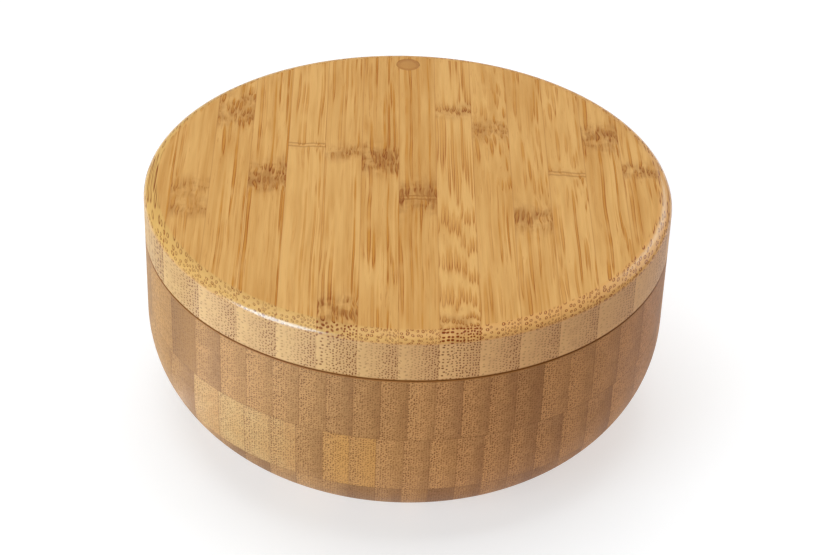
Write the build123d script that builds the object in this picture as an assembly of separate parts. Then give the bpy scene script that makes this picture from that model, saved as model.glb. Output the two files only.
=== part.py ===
from build123d import *
import math
import os

# Bamboo salt box: a turned bowl under a flat lid that swivels aside on a screw at the back.
# The bowl is three boards glued face to face, turned as one. The lid is a board glued up from strips
# that run along Y, so each strip is a solid of its own, sawn out of the turned lid.
# Millimetres. The origin is the centre of the base, Z is up, and the swivel is at the back (+Y).
# Each rounding is turned as a few narrow flats, whose corners lie on the true curve.

# Outside form
box_diameter = 127.0
box_height = 60.0
foot_diameter = 93.2
foot_curve_radius = 30.0
foot_flat_count = 7
base_board_thickness = 15.0
middle_board_thickness = 16.35
lid_thickness = 11.7
lid_edge_radius = 2.5
lid_flat_count = 3
lid_gap = 0.3
edge_break = 0.35

# Salt well
wall_thickness = 13.5
floor_thickness = 9.0
well_corner_radius = 18.0
well_flat_count = 5
mouth_radius = 1.5
mouth_flat_count = 2

# Strips of the lid: how many go into its width, and how far they are laid off the centre line
strip_count = 14
strip_shift = -2.3
narrowest_strip = 1.5

# Swivel: a shoulder screw whose head turns in the lid, a washer let into the rim, and a flush plug
shoulder_diameter = 4.0
running_clearance = 0.05
thread_diameter = 3.0
thread_length = 13.0
head_diameter = 5.4
head_height = 2.2
head_play = 0.1
plug_diameter = 6.0
plug_thickness = 3.0
washer_diameter = 9.0
washer_thickness = 1.0

# Catch: two disc magnets, one flush in the rim and one flush under the lid
magnet_diameter = 8.0
magnet_thickness = 3.0

# Worked out from the sizes above
outer_radius = box_diameter / 2
strip_width = box_diameter / strip_count
foot_radius = foot_diameter / 2
foot_curve_x = outer_radius - foot_curve_radius
foot_curve_z = math.sqrt(foot_curve_radius**2 - (foot_radius - foot_curve_x) ** 2)
well_radius = outer_radius - wall_thickness
middle_board_z = base_board_thickness
top_board_z = middle_board_z + middle_board_thickness
lid_z = box_height - lid_thickness
rim_z = lid_z - lid_gap
swivel_y = outer_radius - wall_thickness / 2
catch_y = -swivel_y
plug_z = box_height - plug_thickness
head_z = plug_z - head_play - head_height
washer_z = lid_z - washer_thickness


def turned(corners):
    """The solid that a half outline of (x, z) corners makes, turned about the Z axis."""
    outline = Plane.XZ * Polyline(*corners, close=True)
    return revolve(make_face(outline), Axis.Z)


def rounding(centre_x, centre_z, radius, start, end, flats):
    """Corners of the flats that follow an arc from one angle to another, in degrees."""
    turns = [math.radians(start + (end - start) * count / flats) for count in range(flats + 1)]
    return [(centre_x + radius * math.cos(turn), centre_z + radius * math.sin(turn)) for turn in turns]


def disc(diameter, bottom_z, height, centre_y):
    """An upright cylinder that stands on a height, at a place on the Y axis."""
    align = (Align.CENTER, Align.CENTER, Align.MIN)
    return Pos(0, centre_y, bottom_z) * Cylinder(diameter / 2, height, align=align)


def bowl_form():
    """The whole bowl as one turned form, before the swivel and catch are let into its rim."""
    foot_angle = math.degrees(math.atan2(-foot_curve_z, foot_radius - foot_curve_x))
    foot = rounding(foot_curve_x, foot_curve_z, foot_curve_radius, foot_angle, 0, foot_flat_count)
    rim = [(outer_radius, rim_z - edge_break), (outer_radius - edge_break, rim_z)]
    mouth = rounding(well_radius + mouth_radius, rim_z - mouth_radius, mouth_radius, 90, 180, mouth_flat_count)
    corner_x = well_radius - well_corner_radius
    corner_z = floor_thickness + well_corner_radius
    corner = rounding(corner_x, corner_z, well_corner_radius, 0, -90, well_flat_count)
    return turned([(0, floor_thickness), (0, 0), *foot, *rim, *mouth, *corner])


def bowl_cuts():
    """Screw hole and washer recess at the back of the rim, magnet pocket at the front."""
    screw_hole = disc(thread_diameter, washer_z - thread_length, thread_length, swivel_y)
    washer_recess = disc(washer_diameter, washer_z, washer_thickness, swivel_y)
    magnet_pocket = disc(magnet_diameter, rim_z - magnet_thickness, magnet_thickness, catch_y)
    return screw_hole + washer_recess + magnet_pocket


def lid_form():
    """The whole lid as one disc with a rounded top edge."""
    underside = [(0, lid_z), (outer_radius - edge_break, lid_z), (outer_radius, lid_z + edge_break)]
    edge_x = outer_radius - lid_edge_radius
    edge_z = box_height - lid_edge_radius
    edge = rounding(edge_x, edge_z, lid_edge_radius, 0, 90, lid_flat_count)
    return turned([(0, box_height), *underside, *edge])


def lid_cuts():
    """Shoulder bore under the hole for head and plug, and the magnet pocket in the underside."""
    bore_height = head_z - head_play - lid_z
    bore = disc(shoulder_diameter + 2 * running_clearance, lid_z, bore_height, swivel_y)
    plug_hole = disc(plug_diameter, lid_z + bore_height, lid_thickness - bore_height, swivel_y)
    magnet_pocket = disc(magnet_diameter, lid_z, magnet_thickness, catch_y)
    return bore + plug_hole + magnet_pocket


def strip_joints():
    """X of each joint between the lid's strips, with both sides of the lid as the first and last."""
    reach = outer_radius - narrowest_strip
    first = math.ceil((-reach - strip_shift) / strip_width)
    last = math.floor((reach - strip_shift) / strip_width)
    inner = [strip_shift + strip_width * count for count in range(first, last + 1)]
    return [-outer_radius, *inner, outer_radius]


def lid_strip(form, left, right):
    """The strip that lies between two joints of the turned lid."""
    middle = Pos((left + right) / 2, 0, lid_z + lid_thickness / 2)
    return form & middle * Box(right - left, box_diameter, lid_thickness)


def bowl_board(form, bottom_z, thickness):
    """One board's layer of the turned bowl."""
    return form & Pos(0, 0, bottom_z + thickness / 2) * Box(box_diameter, box_diameter, thickness)


def swivel_screw():
    """Thread in the bowl, shoulder that the lid turns on, and head that keeps the lid down."""
    thread = disc(thread_diameter, washer_z - thread_length, thread_length, swivel_y)
    shoulder = disc(shoulder_diameter, washer_z, head_z - washer_z, swivel_y)
    head = disc(head_diameter, head_z, head_height, swivel_y)
    return thread + shoulder + head


def swivel_washer():
    """Washer in the rim, proud of it by the gap that it holds open under the lid."""
    hole = disc(shoulder_diameter + 2 * running_clearance, washer_z, washer_thickness, swivel_y)
    return disc(washer_diameter, washer_z, washer_thickness, swivel_y) - hole


bowl = bowl_form() - bowl_cuts()
lid = lid_form() - lid_cuts()
joints = strip_joints()

parts = {
    "bowl_base_board": bowl_board(bowl, 0, base_board_thickness),
    "bowl_middle_board": bowl_board(bowl, middle_board_z, middle_board_thickness),
    "bowl_top_board": bowl_board(bowl, top_board_z, rim_z - top_board_z),
    "swivel_screw": swivel_screw(),
    "swivel_washer": swivel_washer(),
    "swivel_plug": disc(plug_diameter, plug_z, plug_thickness, swivel_y),
    "rim_magnet": disc(magnet_diameter, rim_z - magnet_thickness, magnet_thickness, catch_y),
    "lid_magnet": disc(magnet_diameter, lid_z, magnet_thickness, catch_y),
}
for number, (left, right) in enumerate(zip(joints, joints[1:]), start=1):
    parts[f"lid_strip_{number:02d}"] = lid_strip(lid, left, right)

os.makedirs("parts", exist_ok=True)
for name, shape in parts.items():
    export_step(shape, f"parts/{name}.step")
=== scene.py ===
import math
from typing import NamedTuple

import bmesh
import bpy
from mathutils import Euler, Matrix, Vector


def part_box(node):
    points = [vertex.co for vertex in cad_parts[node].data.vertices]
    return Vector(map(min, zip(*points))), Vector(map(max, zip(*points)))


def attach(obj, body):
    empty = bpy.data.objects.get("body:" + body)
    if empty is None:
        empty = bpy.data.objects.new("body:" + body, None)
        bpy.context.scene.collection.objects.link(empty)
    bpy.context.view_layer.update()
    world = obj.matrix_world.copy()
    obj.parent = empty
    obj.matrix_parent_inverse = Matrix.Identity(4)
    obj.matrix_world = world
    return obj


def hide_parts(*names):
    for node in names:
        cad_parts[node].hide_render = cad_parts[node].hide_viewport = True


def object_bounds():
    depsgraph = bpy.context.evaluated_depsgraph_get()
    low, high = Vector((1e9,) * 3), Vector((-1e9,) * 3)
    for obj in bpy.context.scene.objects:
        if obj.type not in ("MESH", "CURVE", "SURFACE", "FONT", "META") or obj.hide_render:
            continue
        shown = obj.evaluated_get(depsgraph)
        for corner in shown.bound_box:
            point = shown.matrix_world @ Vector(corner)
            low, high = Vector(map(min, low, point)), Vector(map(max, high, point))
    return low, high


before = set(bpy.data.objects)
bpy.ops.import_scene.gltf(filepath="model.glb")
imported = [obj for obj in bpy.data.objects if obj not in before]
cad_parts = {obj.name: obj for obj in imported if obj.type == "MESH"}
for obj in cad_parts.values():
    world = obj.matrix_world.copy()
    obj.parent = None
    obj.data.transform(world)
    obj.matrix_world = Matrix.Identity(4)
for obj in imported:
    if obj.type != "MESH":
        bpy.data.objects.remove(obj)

bl_info = {
    "name": "Bamboo salt box",
    "version": (1, 0, 0),
    "blender": (4, 5, 0),
    "location": "3D View > Sidebar > Salt Box",
    "description": "Dresses a turned bamboo salt box: laminated lid strips, bowl boards, swivel and catch",
    "category": "Object",
}

MM = 0.001

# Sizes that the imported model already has, in metres
BOX_LOW, BOX_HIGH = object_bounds()
BOX_RADIUS = (BOX_HIGH.x - BOX_LOW.x) / 2
LID_STRIP_NAMES = sorted(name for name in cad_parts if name.startswith("lid_strip_"))
LID_LOW, LID_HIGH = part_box("lid_strip_08")
RIM_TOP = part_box("bowl_top_board")[1].z
BASE_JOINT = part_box("bowl_base_board")[1].z
TOP_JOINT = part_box("bowl_top_board")[0].z
PLUG_LOW, PLUG_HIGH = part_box("swivel_plug")
WASHER_LOW, WASHER_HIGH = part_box("swivel_washer")
SCREW_LOW, SCREW_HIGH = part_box("swivel_screw")
RIM_MAGNET_LOW, RIM_MAGNET_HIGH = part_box("rim_magnet")
LID_MAGNET_LOW, LID_MAGNET_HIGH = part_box("lid_magnet")
SWIVEL_Y = (PLUG_LOW.y + PLUG_HIGH.y) / 2
CATCH_Y = (RIM_MAGNET_LOW.y + RIM_MAGNET_HIGH.y) / 2
PLUG_RADIUS = (PLUG_HIGH.x - PLUG_LOW.x) / 2
WASHER_RADIUS = (WASHER_HIGH.x - WASHER_LOW.x) / 2
MAGNET_RADIUS = (RIM_MAGNET_HIGH.x - RIM_MAGNET_LOW.x) / 2


# Settings


def length_of(name, description, millimetres):
    """A length setting, whose default is given in millimetres."""
    default = millimetres * MM
    return bpy.props.FloatProperty(name=name, description=description, default=default, unit="LENGTH")


def colour_of(name, description, *default):
    """A colour setting."""
    return bpy.props.FloatVectorProperty(
        name=name, description=description, default=default, size=3, subtype="COLOR"
    )


def power_of(name, description, watts):
    """A setting for the power of a light."""
    return bpy.props.FloatProperty(name=name, description=description, default=watts, min=0.0, unit="POWER")


def strength_of(name, description, default):
    """A setting for the strength of a glow."""
    return bpy.props.FloatProperty(name=name, description=description, default=default, min=0.0)


class SaltBoxLidSettings(bpy.types.PropertyGroup):
    """Sizes and colours of the lid and its plug"""

    edge_reach: length_of("Edge Reach", "How far the rounded top edge reaches in over the top", 3.3)
    edge_drop: length_of("Edge Drop", "How far the rounded top edge comes down the wall", 2.1)
    underside_break: length_of("Underside Break", "Small break along the lid's lower edge", 0.10)
    hole_room: length_of("Hole Room", "Room round what is set into a hole of the lid", 0.02)
    head_room: length_of("Head Room", "Room under the screw's head, above the step in its hole", 0.1)
    plug_break: length_of("Plug Break", "Break along the plug's lower edge", 0.2)
    plug_rounding: length_of("Plug Rounding", "Rounding of the plug's upper edge", 0.12)
    honey: colour_of("Honey", "Palest ground between the bundles on the top", 0.755, 0.442, 0.150)
    tan: colour_of("Tan", "Deeper ground of the top", 0.59, 0.300, 0.078)
    gold: colour_of("Gold", "Soft core of a bundle", 0.58, 0.260, 0.045)
    streak: colour_of("Streak", "Brown sheath of a bundle", 0.32, 0.080, 0.006)
    edge_ground: colour_of("Edge Ground", "Golden ground of the rounded edge", 0.73, 0.420, 0.140)
    edge_glow: colour_of("Edge Glow", "Warmer ground where the edge meets the wall", 0.64, 0.295, 0.080)
    edge_ring: colour_of("Edge Ring", "Bundle ends in the rounded edge", 0.21, 0.034, 0.001)
    smudge: colour_of("Smudge", "Brown of the knuckles", 0.34, 0.135, 0.028)
    rim_ground: colour_of("Rim Ground", "End grain of the lid's wall", 0.70, 0.408, 0.166)
    rim_shade: colour_of("Rim Shade", "Darker end grain of the lid's wall", 0.47, 0.240, 0.095)
    rim_dot: colour_of("Rim Dot", "Bundle ends in the lid's wall", 0.155, 0.036, 0.003)
    # Painted shade: darker brown along the lid's lower edge, where the seam with the bowl falls in shade
    seam_shade: colour_of("Bead", "Varnish that has gathered along the lower edge", 0.31, 0.115, 0.019)
    plug_pale: colour_of("Plug Pale", "Paler fibres of the plug", 0.58, 0.305, 0.092)
    plug_deep: colour_of("Plug Deep", "Deeper fibres of the plug", 0.48, 0.230, 0.062)
    plug_ring: colour_of("Plug Ring", "Browner outer part of the plug", 0.43, 0.185, 0.048)
    plug_speck: colour_of("Plug Speck", "Specks in the plug", 0.42, 0.17, 0.03)
    plug_joint: colour_of("Plug Joint", "Glue line round the plug", 0.34, 0.14, 0.035)


class SaltBoxBowlSettings(bpy.types.PropertyGroup):
    """Sizes and colours of the bowl"""

    foot_radius: length_of("Foot Radius", "Radius of the flat that the bowl stands on", 46.6)
    foot_curve_radius: length_of("Foot Curve Radius", "Rounding between the wall and the foot", 30.0)
    well_radius: length_of("Well Radius", "Inside radius of the salt well", 50.0)
    floor_height: length_of("Floor Height", "Height of the well's floor above the table", 9.0)
    well_corner_radius: length_of("Well Corner Radius", "Rounding between the well's wall and floor", 18.0)
    mouth_radius: length_of("Mouth Radius", "Rounding of the rim's inner edge", 1.5)
    rim_break: length_of("Rim Break", "Small break along the rim's outer edge", 0.10)
    rim_lift: length_of("Rim Lift", "How much the coats of varnish raise the rim towards the lid", 0.12)
    strip_width: length_of("Strip Width", "Width of the strips that the boards are laid up from", 6.12)
    ground: colour_of("Ground", "End grain between the bundles", 0.525, 0.258, 0.090)
    pale: colour_of("Pale", "Ground of the few palest strips", 0.60, 0.365, 0.145)
    shade: colour_of("Shade", "Darker, smoother side of a strip", 0.285, 0.127, 0.043)
    amber: colour_of("Amber", "Ground of the few strips that are more orange", 0.60, 0.285, 0.072)
    dot: colour_of("Dot", "Bundle ends in the bowl's wall", 0.165, 0.058, 0.014)
    # Painted shade: darker brown along the rim's outer edge, where the seam with the lid falls in shade
    seam_shade: colour_of("Bead", "Varnish that has gathered along the rim", 0.31, 0.115, 0.019)


class SaltBoxHardwareSettings(bpy.types.PropertyGroup):
    """Sizes and colours of the swivel screw, its washer and the magnets"""

    shoulder_radius: length_of("Shoulder Radius", "Radius of the smooth shoulder that the lid turns on", 2.0)
    running_play: length_of("Running Play", "Room round the shoulder, in the washer and in the lid", 0.05)
    head_height: length_of("Head Height", "Height of the screw's head", 2.2)
    screw_hole_radius: length_of("Screw Hole Radius", "Radius of the hole that the screw is driven into", 1.5)
    thread_radius: length_of("Thread Radius", "Radius over the ridges of the thread", 1.48)
    thread_depth: length_of("Thread Depth", "How deep the thread is cut", 0.36)
    thread_pitch: length_of("Thread Pitch", "Height that the thread climbs in one turn", 1.25)
    recess_radius: length_of("Recess Radius", "Reach of the six-lobed recess in the head", 1.15)
    recess_depth: length_of("Recess Depth", "Depth of the recess in the head", 1.3)
    washer_rounding: length_of("Washer Rounding", "Rounding of the washer's edges", 0.12)
    magnet_rounding: length_of("Magnet Rounding", "Rounding of the magnets' edges", 0.25)
    steel: colour_of("Steel", "Turned steel of the screw", 0.62, 0.61, 0.59)
    nickel: colour_of("Nickel", "Plating of the magnets", 0.74, 0.71, 0.66)
    nylon: colour_of("Nylon", "Paler parts of the washer", 0.80, 0.78, 0.72)
    nylon_shade: colour_of("Nylon Shade", "Duller parts of the washer", 0.70, 0.68, 0.61)


class SaltBoxStageSettings(bpy.types.PropertyGroup):
    """Floor, lights and room"""

    floor_colour: colour_of("Floor", "Colour of the floor", 0.50, 0.52, 0.54)
    floor_glow: strength_of("Floor Glow", "The floor's own light, which keeps its shadows pale", 0.57)
    key_power: power_of("Key Light", "Power of the soft light at the front left, in watts", 4.25)
    top_power: power_of("Top Light", "Power of the large light overhead, in watts", 13.0)
    side_power: power_of("Side Light", "Power of the soft light at the right, in watts", 1.2)
    glint_power: power_of("Glints", "Power of the lights that show only as shine on the lid's edge", 9.5)
    card_power: power_of("Floor Card", "Power of the white card on the floor at the left, in watts", 0.65)
    room_light: strength_of("Room Light", "Strength of the even light from all around", 0.22)
    room_colour: colour_of("Room", "Colour of the even light from all around", 1.0, 0.93, 0.84)
    backdrop: colour_of("Backdrop", "Colour that is seen past the floor", 0.82, 0.82, 0.81)


# Node trees. A wire is an output of a node, and a sum written with wires makes its Math nodes.


class Wire:
    """An output of a node. wire["Name"] is another output of the same node."""

    def __init__(self, socket):
        self.socket = socket
        self.tree = socket.id_data

    def __getitem__(self, key):
        return Wire(self.socket.node.outputs[key])

    def __add__(self, other):
        return calculate("ADD", self, other)

    def __radd__(self, other):
        return calculate("ADD", other, self)

    def __sub__(self, other):
        return calculate("SUBTRACT", self, other)

    def __rsub__(self, other):
        return calculate("SUBTRACT", other, self)

    def __mul__(self, other):
        return calculate("MULTIPLY", self, other)

    def __rmul__(self, other):
        return calculate("MULTIPLY", other, self)

    def __truediv__(self, other):
        return calculate("DIVIDE", self, other)

    def __pow__(self, other):
        return calculate("POWER", self, other)

    def __abs__(self):
        return calculate("ABSOLUTE", self)


def feed(socket, value):
    """Links a wire into an input, or sets the input's own value."""
    if isinstance(value, Wire):
        value.tree.links.new(value.socket, socket)
    elif socket.type == "RGBA":
        socket.default_value = (*value, 1.0)
    else:
        socket.default_value = value


def add_node(tree, kind, inputs=None, **options):
    """Adds a node with its options and its inputs, and gives the wire of its first output."""
    node = tree.nodes.new(kind)
    for name, value in options.items():
        setattr(node, name, value)
    for key, value in (inputs or {}).items():
        feed(node.inputs[key], value)
    return Wire(node.outputs[0])


def tree_of(*values):
    """The tree that the first wire among some values belongs to."""
    return next(value.tree for value in values if isinstance(value, Wire))


def calculate(operation, *values):
    """The result of one Math node."""
    return add_node(tree_of(*values), "ShaderNodeMath", dict(enumerate(values)), operation=operation)


def larger(first, second):
    """The larger of two numbers."""
    return calculate("MAXIMUM", first, second)


def smaller(first, second):
    """The smaller of two numbers."""
    return calculate("MINIMUM", first, second)


def clamped(wire):
    """The result of a Math node, kept between 0 and 1."""
    wire.socket.node.use_clamp = True
    return wire


def ramp(value, low, high, start=0.0, end=1.0, interpolation="LINEAR"):
    """A straight ramp from start to end while the value goes from low to high."""
    inputs = {"Value": value, "From Min": low, "From Max": high, "To Min": start, "To Max": end}
    return add_node(value.tree, "ShaderNodeMapRange", inputs, interpolation_type=interpolation)


def ease(value, low, high, start=0.0, end=1.0):
    """A smooth step from start to end while the value goes from low to high."""
    return ramp(value, low, high, start, end, "SMOOTHSTEP")


def between(share, start, end):
    """A number that goes from start to end with a share from 0 to 1."""
    return ramp(share, 0.0, 1.0, start, end)


def mix(factor, first, second, blend_type="MIX"):
    """A mix of two colours."""
    tree = tree_of(factor, first, second)
    inputs = {0: factor, 6: first, 7: second}
    return add_node(tree, "ShaderNodeMix", inputs, data_type="RGBA", blend_type=blend_type)[2]


def point(x, y, z):
    """A vector from three numbers."""
    return add_node(tree_of(x, y, z), "ShaderNodeCombineXYZ", {0: x, 1: y, 2: z})


def parts_of(vector):
    """The three numbers of a vector."""
    parts = add_node(vector.tree, "ShaderNodeSeparateXYZ", {0: vector})
    return parts[0], parts[1], parts[2]


def from_axis(x, y):
    """How far a point is from an upright axis."""
    return calculate("SQRT", x**2.0 + y**2.0)


def noise(vector, detail=1.0, roughness=0.5):
    """Noise about one unit coarse, from 0 to 1."""
    inputs = {"Vector": vector, "Scale": 1.0, "Detail": detail, "Roughness": roughness}
    return add_node(vector.tree, "ShaderNodeTexNoise", inputs, noise_dimensions="3D")["Fac"]


def swing(vector, detail=1.0):
    """Noise that swings to both sides of 0."""
    return noise(vector, detail) - 0.5


def shaded(colour, shade):
    """A colour made darker or paler by a number."""
    return mix(1.0, colour, point(shade, shade, shade), "MULTIPLY")


def arrange(tree):
    """Lays the nodes of a tree out in columns, from the last to the first."""
    depth = {node.name: 0 for node in tree.nodes}
    for _ in range(len(tree.nodes)):
        moved = False
        for link in tree.links:
            wanted = depth[link.to_node.name] + 1
            if depth[link.from_node.name] < wanted:
                depth[link.from_node.name] = wanted
                moved = True
        if not moved:
            break
    rows = {}
    for node in tree.nodes:
        column = depth[node.name]
        row = rows.get(column, 0)
        node.location = (-220 * column, -180 * row)
        rows[column] = row + 1


def new_group(name, inputs):
    """An empty shader group, as the wire of its inputs. An input without a default is a vector."""
    tree = bpy.data.node_groups.new(name, "ShaderNodeTree")
    for key, default in inputs.items():
        kind = "NodeSocketVector" if default is None else "NodeSocketFloat"
        socket = tree.interface.new_socket(key, in_out="INPUT", socket_type=kind)
        if default is not None:
            socket.default_value = default
    return Wire(tree.nodes.new("NodeGroupInput").outputs[0])


def close_group(tree, **outputs):
    """Gives a group its named outputs: Place is a vector, and the others are numbers."""
    for key in outputs:
        kind = "NodeSocketVector" if key == "Place" else "NodeSocketFloat"
        tree.interface.new_socket(key, in_out="OUTPUT", socket_type=kind)
    leave = tree.nodes.new("NodeGroupOutput")
    for key, value in outputs.items():
        feed(leave.inputs[key], value)
    arrange(tree)
    return tree


def place_group(tree, name, inputs):
    """Places a shared group in a tree and feeds its inputs. The group is built the first time."""
    group = bpy.data.node_groups.get(name)
    if group is None:
        group = GROUP_MAKERS[name](name)
    return add_node(tree, "ShaderNodeGroup", inputs, node_tree=group, label=name)


# Shared shader groups. All of them count in millimetres.


def bundle_group(name):
    """Vascular bundles: fibres with a dark cap on each side of a golden core, cut across or along."""
    inputs = {
        "Place": None,
        "Spacing Across": 1.0,
        "Spacing Up": 1.0,
        "Stagger": 0.5,
        "Randomness": 0.6,
        "Half Width": 0.3,
        "Half Height": 0.3,
        "Cap Width": 0.35,
        "Closed": 0.3,
    }
    given = new_group(name, inputs)
    tree = given.tree
    across, along, up = parts_of(given["Place"])

    # One bundle in each cell of the cross-section
    column = across / given["Spacing Across"]
    row = column * given["Stagger"] + up / given["Spacing Up"]
    values = {"Vector": point(column, row, 0.0), "Scale": 1.0, "Randomness": given["Randomness"]}
    cells = add_node(tree, "ShaderNodeTexVoronoi", values, voronoi_dimensions="2D")
    dice = add_node(tree, "ShaderNodeSeparateColor", {0: cells["Color"]})
    pick = dice[0]
    size = between(dice[1], 0.75, 1.1)
    centre_column, centre_row, _ = parts_of(cells["Position"])

    # Where a point is in its bundle: 1 is on the sheath
    off_column = column - centre_column
    off_row = row - centre_row - off_column * given["Stagger"]
    off_across = off_column * given["Spacing Across"] / (given["Half Width"] * size)
    off_up = off_row * given["Spacing Up"] / (given["Half Height"] * size)
    reach = from_axis(off_across, off_up)
    sheath = ease(abs(reach - 1.0), 0.0, given["Cap Width"] * 2.0, 1.0, 0.0)
    sideways = abs(off_across) / larger(reach, 0.05)
    open_ends = ease(sideways, 0.25, 0.8, given["Closed"], 1.0)
    heavier_right = ramp(off_across, -1.0, 1.0, 0.7, 1.0)
    return close_group(
        tree,
        Caps=sheath * open_ends * heavier_right,
        Core=ease(reach, 0.6, 1.15, 1.0, 0.0),
        Glow=ease(reach, 0.7, 1.9, 1.0, 0.0),
        Far=ramp(off_up, -1.0, 1.0),
        Pick=pick,
        Fade=noise(point(pick * 57.0, along * 0.09, 0.0)),
    )


def knuckle_group(name):
    """A joint of the culm: bundles jump across it, so it shows short ovals, a brown smudge and a line."""
    inputs = {
        "Place": None,
        "Knuckle At": 0.0,
        "Length": 3.0,
        "Jump": 2.5,
        "Brown": 0.5,
        "Line": 0.0,
        "Seed": 0.0,
    }
    given = new_group(name, inputs)
    across, along, up = parts_of(given["Place"])
    seed = given["Seed"]
    wobble = swing(point(across * 0.30, seed, 0.0), 2.0)
    off = along - given["Knuckle At"]
    share = (wobble * 4.5 + off) / given["Length"]
    bell = calculate("EXPONENT", share**2.0 * -0.9)

    # The bundles jump up and curl aside
    shifted_up = calculate("TANH", share) * given["Jump"] + up
    curl = swing(point(across * 0.25, along * 0.25, seed))
    shifted_across = bell * curl * 1.4 + across

    # The brown comes in patches and along the fibres
    fibre = noise(point(shifted_across * 2.0, along * 0.12, seed + 3.7), 3.0, 0.6)
    patch = ease(noise(point(across * 0.28, along * 0.28, seed), 2.0), 0.35, 0.6, 0.25, 1.0)
    smudge = bell * patch * ramp(fibre, 0.32, 0.68, 0.15, 1.5)
    left_bare = calculate("EXPONENT", smudge * given["Brown"] * -1.0)
    off_line = abs(abs(wobble * 2.0 + off) - 0.7)
    return close_group(
        given.tree,
        Place=point(shifted_across, along, shifted_up),
        Near=clamped(bell * patch * given["Brown"]),
        Smudge=clamped(1.0 - left_bare),
        Crease=clamped(ease(off_line, 0.1, 0.5, 1.0, 0.0) * given["Line"]),
    )


def fibre_group(name):
    """Fine fibres, slow cloudy tones that run along the strip, and specks."""
    given = new_group(name, {"Place": None, "Seed": 0.0})
    across, along, up = parts_of(given["Place"])
    seed = given["Seed"]
    return close_group(
        given.tree,
        Fine=noise(point(across * 3.2 + seed, along * 0.07, up * 3.2), 3.0, 0.6),
        Cloud=noise(point(across * 0.42 + seed, along * 0.035, up * 0.42), 2.0),
        Speck=noise(point(across * 4.5, along * 4.5, up * 4.5 + seed)),
    )


def varnish_group(name):
    """Satin varnish: roughness that varies in patches and fine wipes, and the height of the grain."""
    given = new_group(name, {"Place": None, "Grain": 0.5, "Roughness": 0.4})
    across, along, up = parts_of(given["Place"])
    patch = noise(point(across * 0.06, along * 0.05, up * 0.06), 3.0, 0.55)
    wipe = noise(point(across * 1.3, along * 0.12, up * 1.3), 2.0)
    rough = (patch - 0.5) * 0.28 + given["Roughness"]
    rough = (wipe - 0.5) * 0.18 + rough
    return close_group(
        given.tree,
        Roughness=clamped(given["Grain"] * 0.10 + rough),
        Height=given["Grain"] * -0.6 + wipe,
    )


GROUP_MAKERS = {
    "Bamboo bundles": bundle_group,
    "Bamboo knuckle": knuckle_group,
    "Bamboo fibre": fibre_group,
    "Satin varnish": varnish_group,
}


# Materials

VARNISH_IOR = 1.42
VARNISH_RELIEF = 0.1 * MM
COAT_ROUGHNESS = 0.24
NYLON_IOR = 1.53
SOFT_RELIEF = 0.05 * MM


def new_material(name):
    """A material with an empty tree, and its tree and Principled shader."""
    material = bpy.data.materials.new(name)
    material.use_nodes = True
    tree = material.node_tree
    tree.nodes.clear()
    output = tree.nodes.new("ShaderNodeOutputMaterial")
    shader = tree.nodes.new("ShaderNodeBsdfPrincipled")
    tree.links.new(shader.outputs["BSDF"], output.inputs["Surface"])
    return material, tree, shader


def millimetres(tree):
    """Where a point is on the box, in millimetres."""
    coordinates = add_node(tree, "ShaderNodeTexCoord")
    inputs = {0: coordinates["Object"], "Scale": 1.0 / MM}
    return add_node(tree, "ShaderNodeVectorMath", inputs, operation="SCALE")


def relieve(shader, height, strength, distance):
    """Gives a shader a fine relief."""
    inputs = {"Strength": strength, "Distance": distance, "Height": height}
    feed(shader.inputs["Normal"], add_node(height.tree, "ShaderNodeBump", inputs))


def varnish(shader, here, grain, roughness, relief):
    """Gives bamboo its satin varnish, with a fine relief of the grain."""
    inputs = {"Place": here, "Grain": grain, "Roughness": roughness}
    film = place_group(here.tree, "Satin varnish", inputs)
    feed(shader.inputs["Roughness"], film["Roughness"])
    shader.inputs["IOR"].default_value = VARNISH_IOR
    relieve(shader, film["Height"], relief, VARNISH_RELIEF)


def add_coat(shader, weight):
    """Gives the lid its glossier top coat, in place of the shine of the wood."""
    shader.inputs["Specular IOR Level"].default_value = 0.0
    shader.inputs["Coat Roughness"].default_value = COAT_ROUGHNESS
    feed(shader.inputs["Coat Weight"], weight)


def painted_light_tint(x, right_sheen_blue):
    """Painted light: a tint that makes the grain a little redder from the lit left of the box to its shaded
    right, with a painted bluish sheen at the far right end and less blue at the far left end.
    """
    red = ease(x, -30.0, 20.0, 0.96, 1.0)
    green = ease(x, -30.0, 35.0, 1.025, 0.94)
    blue = ease(x, -30.0, 35.0, 1.05, 0.90)
    painted_left_tint = ease(x, -60.0, -42.0, 0.92, 1.0)
    painted_right_sheen = ease(x, 42.0, 58.0, 1.0, right_sheen_blue)
    return point(red, green, blue * (painted_left_tint * painted_right_sheen))


def painted_seam_reach(radius):
    """Where the painted shade along the seam between lid and bowl lies: only near the outside of the box."""
    return ease(radius, BOX_RADIUS / MM - 0.9, BOX_RADIUS / MM - 0.4)


# How far apart the seeds of the strips and knuckles are, and sizes of the grain in millimetres
LID_SEED_STEP = 11.3
KNUCKLE_SEED_STEP = 5.1
BEND_SOFTNESS = 5.0
EDGE_SLANT = 0.42
GLUE_REACH = 0.22


class StripLook(NamedTuple):
    """How a strip of the lid looks. Its lengths and places are in millimetres."""

    # From -1 for dark to 1 for pale
    tone: float
    # How steeply the bundles rise in its front and in its back, and the place where that changes
    slope: tuple
    # How much the bundles wander, and how dark they are
    wander: float
    dark: float
    # Each has a place along the strip, a half length, a jump of the bundles, a brown and a line
    knuckles: tuple = ()
    # How full the ends of the bundles are, and how many more of them show on the top
    full: float = 0.0
    every: float = 0.0
    # Distance, stagger, looseness and height of the bundles, and how ruffled they run
    apart: float = 1.2
    stagger: float = 0.5
    loose: float = 0.55
    height: float = 1.0
    ruffle: float = 2.0


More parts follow.
